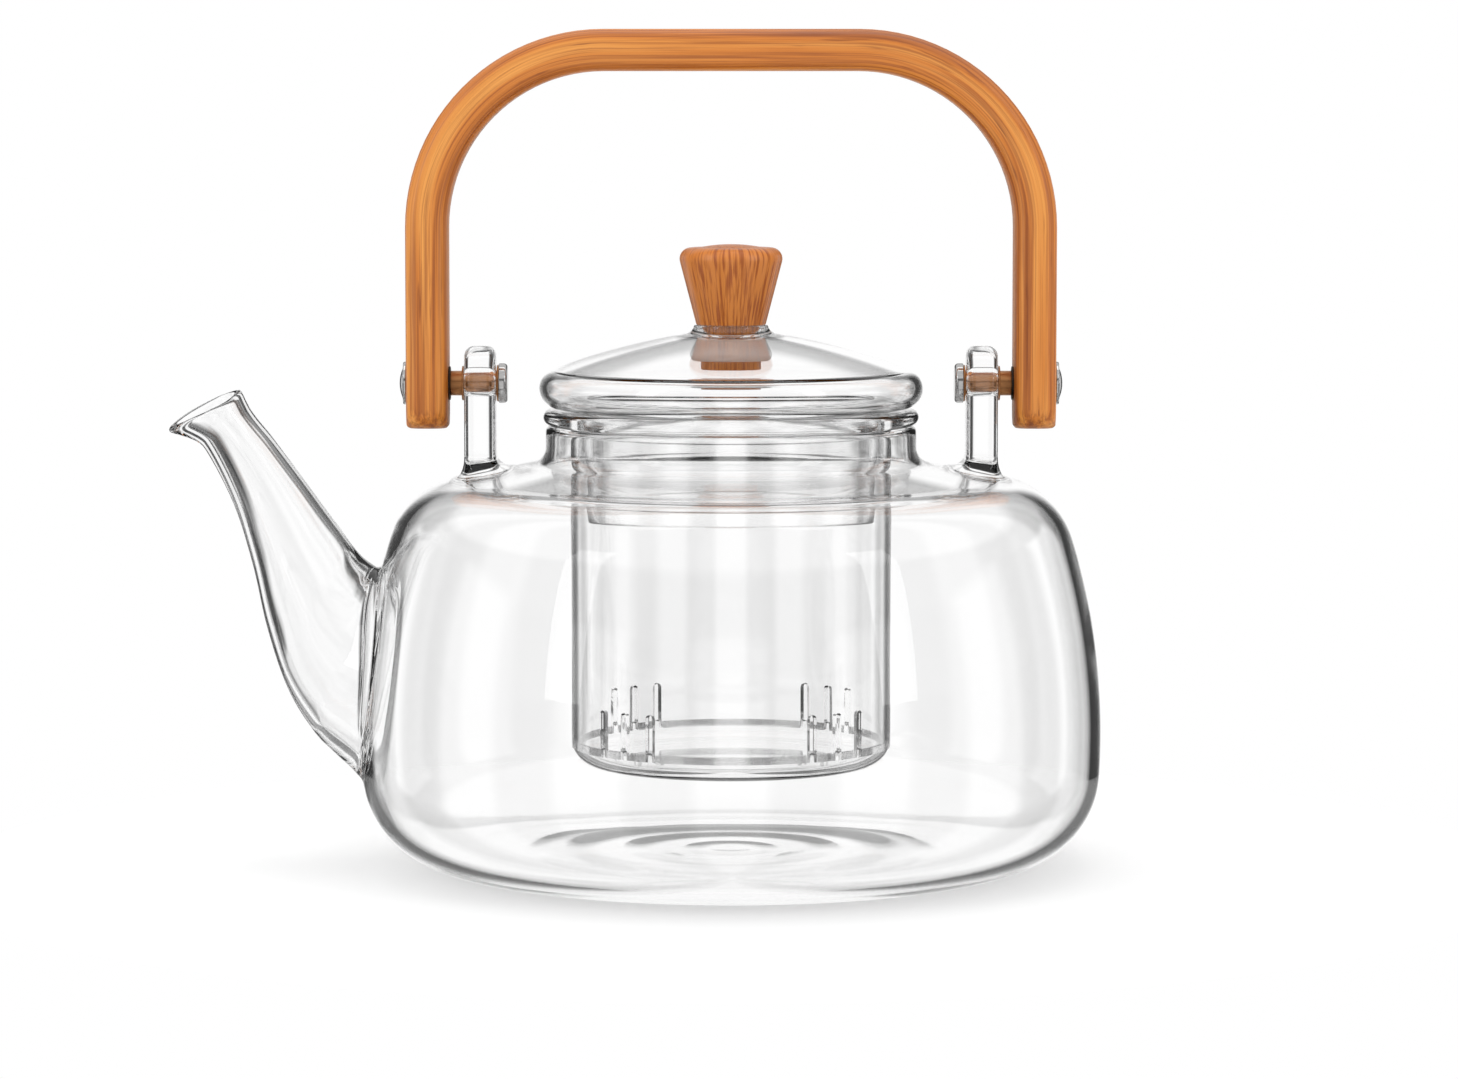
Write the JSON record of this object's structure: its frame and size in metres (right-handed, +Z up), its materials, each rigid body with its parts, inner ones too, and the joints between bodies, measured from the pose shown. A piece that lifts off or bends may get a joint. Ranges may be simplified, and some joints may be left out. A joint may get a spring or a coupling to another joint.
{
  "type": "glass teapot",
  "caption": "Clear glass teapot with a welded spout, a slotted glass infuser, a domed glass lid with a wooden knob, and a bent bamboo bail handle that swings on metal pivots.",
  "frame": {"origin": "centre of the base, on the surface that the pot stands on", "axes": "+Z up; the spout points to -X; the handle swings about an axis along X"},
  "size_m": [0.1989, 0.159, 0.1791],
  "materials": {
    "clear_glass": "clear, fire-polished",
    "knob_wood": "satin varnish",
    "bamboo": "satin varnish",
    "silicone": "frosted, translucent",
    "polished_steel": "polished",
    "copper_tone": "satin, bronzed",
    "dark_washer": "matt"
  },
  "bodies": {
    "pot": {"glass_vessel": "clear_glass", "spout": "clear_glass", "lug_left": "clear_glass", "lug_right": "clear_glass"},
    "infuser": {"infuser": "clear_glass"},
    "lid": {"lid": "clear_glass", "knob": "knob_wood", "knob_plug": "silicone"},
    "handle": {"bail_handle": "bamboo", "pivot_barrel_left": "polished_steel", "pivot_screw_left": "polished_steel", "spacer_tube_left": "copper_tone", "lug_washer_inner_left": "copper_tone", "lug_washer_outer_left": "copper_tone", "leg_washer_left": "dark_washer", "pivot_barrel_right": "polished_steel", "pivot_screw_right": "polished_steel", "spacer_tube_right": "copper_tone", "lug_washer_inner_right": "copper_tone", "lug_washer_outer_right": "copper_tone", "leg_washer_right": "dark_washer"}
  },
  "joints": [
    {"name": "handle_swing", "type": "hinge", "parent": "pot", "child": "handle", "pos_m": [0, 0, 0.1037], "axis": [1, 0, 0], "range_deg": [-102, 102]},
    {"name": "infuser_lift", "type": "slide", "parent": "pot", "child": "infuser", "axis": [0, 0, 1], "range_m": [0, 0.034]},
    {"name": "lid_lift", "type": "slide", "parent": "infuser", "child": "lid", "axis": [0, 0, 1], "range_m": [0, 0.034]}
  ]
}
